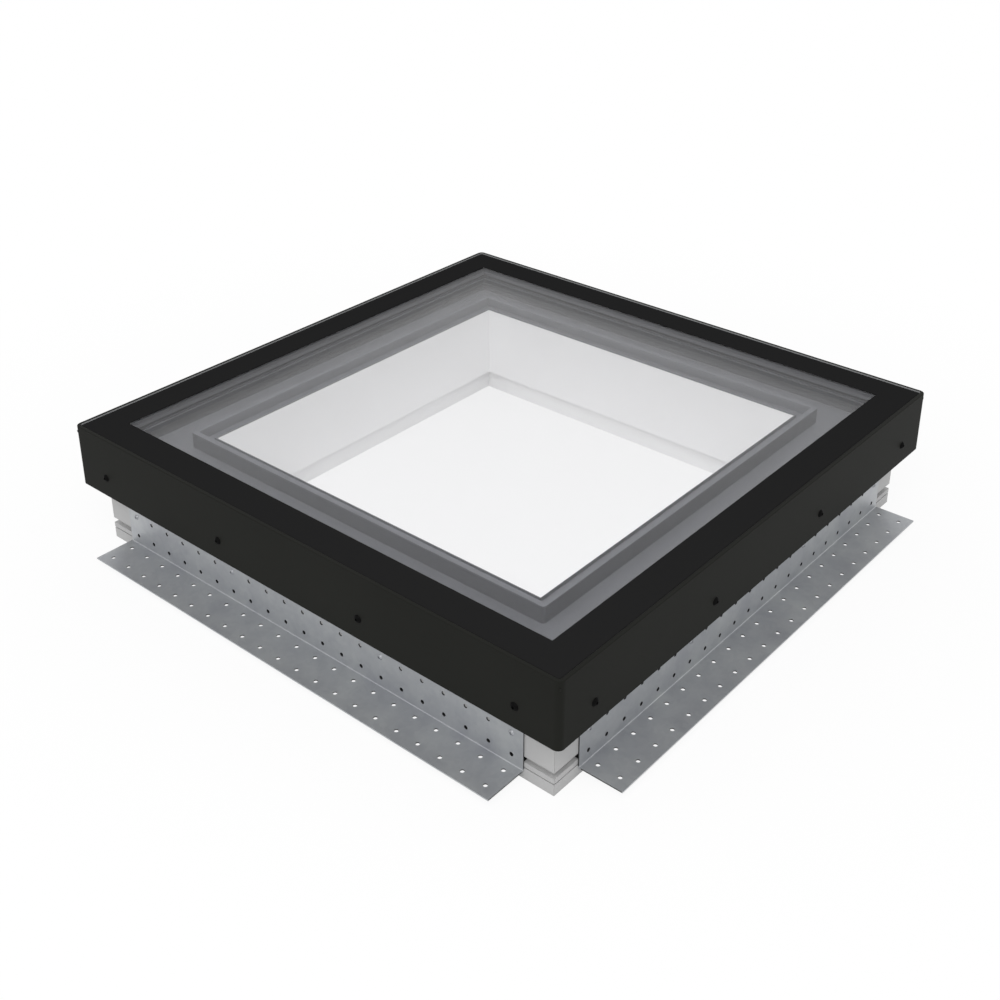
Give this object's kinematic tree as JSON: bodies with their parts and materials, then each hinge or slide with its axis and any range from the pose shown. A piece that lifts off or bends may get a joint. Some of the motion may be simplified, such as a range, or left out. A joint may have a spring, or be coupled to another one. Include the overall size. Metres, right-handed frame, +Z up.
{
  "type": "flat roof skylight",
  "caption": "Fixed square flat-roof skylight: double glazing with a black border in a black cover frame, on a white insulated kerb with perforated fixing angles.",
  "frame": {"origin": "middle of the kerb's underside, on the roof deck", "axes": "+Z up through the glass, X and Y square to the sides"},
  "size_m": [1.084, 1.084, 0.215],
  "materials": {
    "frame_black": "matt powder coat",
    "glass": "clear float glass",
    "print_black": "matt ceramic print",
    "spacer_grey": "mill finish, dull",
    "edge_seal_grey": "smooth sealant",
    "seal_black": "smooth sealant",
    "gasket_grey": "soft foam tape",
    "seat_grey": "moulded, fine grain",
    "block_black": "moulded",
    "kerb_white": "satin extruded plastic",
    "insulation": "rigid foam",
    "galvanised": "galvanised, faint spangle",
    "screw_zinc": "zinc plated",
    "screw_black": "black coated"
  },
  "bodies": {
    "root": {"cover_frame": "frame_black", "outer_pane": "glass", "border_print": "print_black", "inner_pane": "glass", "spacer_bar": "spacer_grey", "edge_seal": "edge_seal_grey", "bond_seal": "seal_black", "joint_seal": "seal_black", "bed_gasket": "gasket_grey", "foot_gasket": "seal_black", "glazing_seat": "seat_grey", "location_blocks": "block_black", "kerb_right": "kerb_white", "kerb_core_right": "insulation", "flange_right": "galvanised", "flange_screws_right": "screw_zinc", "frame_screws_right": "screw_black", "kerb_back": "kerb_white", "kerb_core_back": "insulation", "flange_back": "galvanised", "flange_screws_back": "screw_zinc", "frame_screws_back": "screw_black", "kerb_left": "kerb_white", "kerb_core_left": "insulation", "flange_left": "galvanised", "flange_screws_left": "screw_zinc", "frame_screws_left": "screw_black", "kerb_front": "kerb_white", "kerb_core_front": "insulation", "flange_front": "galvanised", "flange_screws_front": "screw_zinc", "frame_screws_front": "screw_black"}
  },
  "joints": []
}
